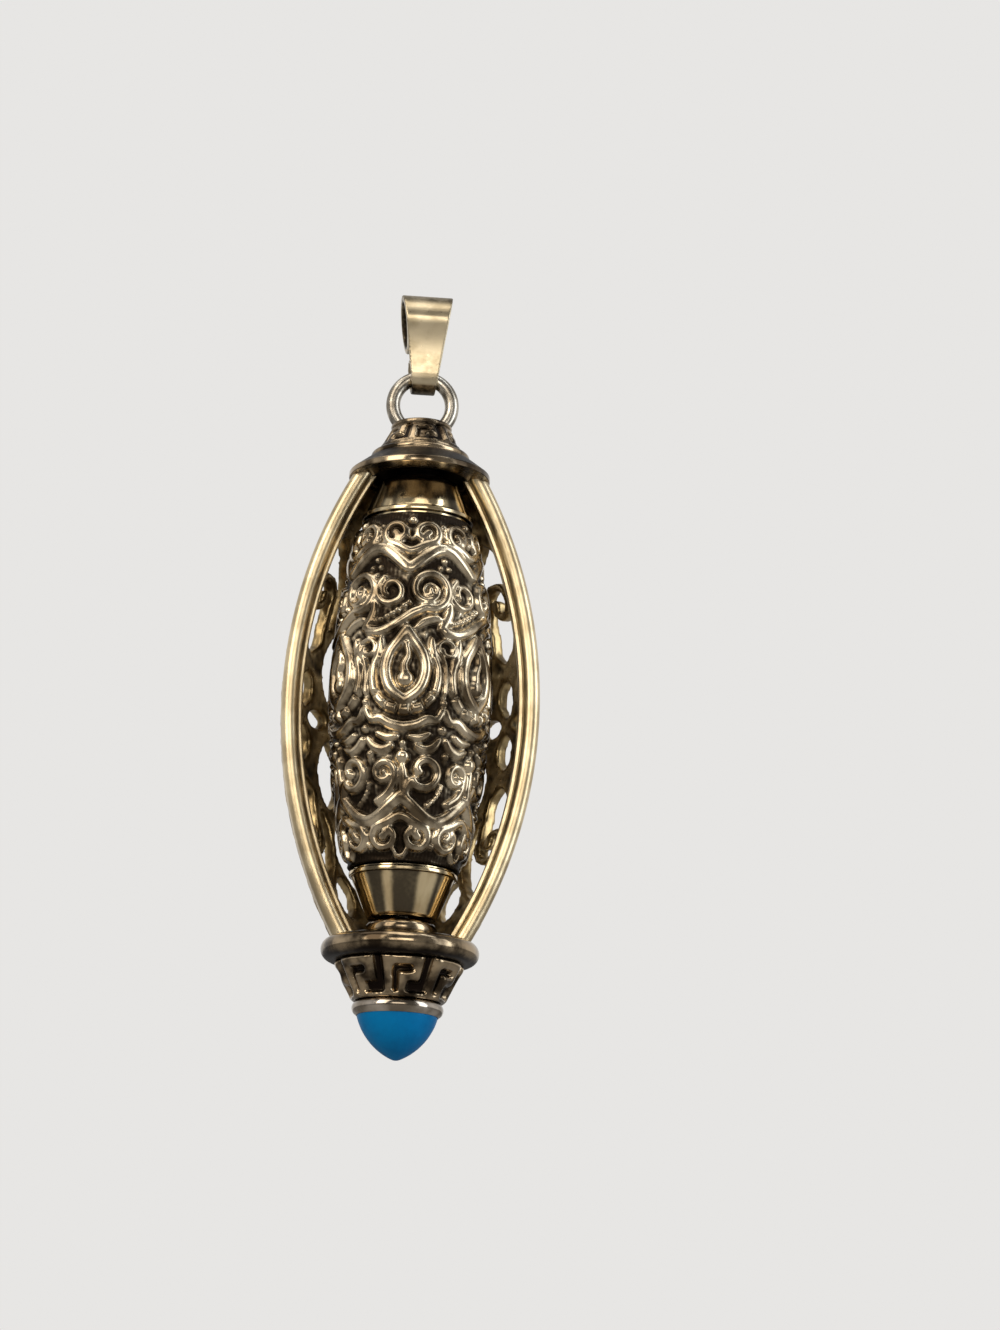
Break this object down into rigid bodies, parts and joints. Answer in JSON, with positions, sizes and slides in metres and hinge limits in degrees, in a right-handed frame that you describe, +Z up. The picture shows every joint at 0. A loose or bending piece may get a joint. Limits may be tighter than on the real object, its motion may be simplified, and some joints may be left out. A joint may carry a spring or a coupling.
{
  "type": "prayer wheel pendant",
  "caption": "Hanging pendant with a relief drum that spins on an axle inside a half-open pierced cage, a key-pattern cap and cup, a turquoise tip and a swinging bail.",
  "frame": {"origin": "centre of the necklace channel across the bail", "axes": "+Z up along the drum's axle, -Y towards the cage's open front, +X along the necklace channel"},
  "size_m": [0.018, 0.0146, 0.0551],
  "materials": {
    "bail_metal": "satin, slightly warm",
    "antique_silver": "antiqued, dark in the recesses",
    "polished_silver": "polished",
    "aged_shell": "antiqued, brownish inside",
    "pin_steel": "plain",
    "turquoise": "smooth, satin",
    "paper": "plain"
  },
  "bodies": {
    "bail": {"bail": "bail_metal"},
    "cage": {"hanging_loop": "antique_silver", "top_cap": "antique_silver", "top_collar": "antique_silver", "cage_shell": "aged_shell", "left_rim": "polished_silver", "right_rim": "polished_silver", "base_collar": "antique_silver", "key_cup": "antique_silver", "bezel": "polished_silver", "stone_tip": "turquoise", "axle": "pin_steel", "top_washer": "pin_steel", "lower_bush": "antique_silver"},
    "drum": {"drum_body": "antique_silver", "upper_drum_cap": "polished_silver", "lower_drum_cap": "polished_silver", "spool_tube": "pin_steel", "paper_roll": "paper"}
  },
  "joints": [
    {"name": "bail_swing", "type": "hinge", "parent": "bail", "child": "cage", "pos_m": [0, 0, -0.00396], "axis": [1, 0, 0], "range_deg": [-112, 112]},
    {"name": "drum_spin", "type": "hinge", "parent": "cage", "child": "drum", "pos_m": [0, 0, -0.028], "axis": [0, 0, 1], "continuous": true}
  ]
}
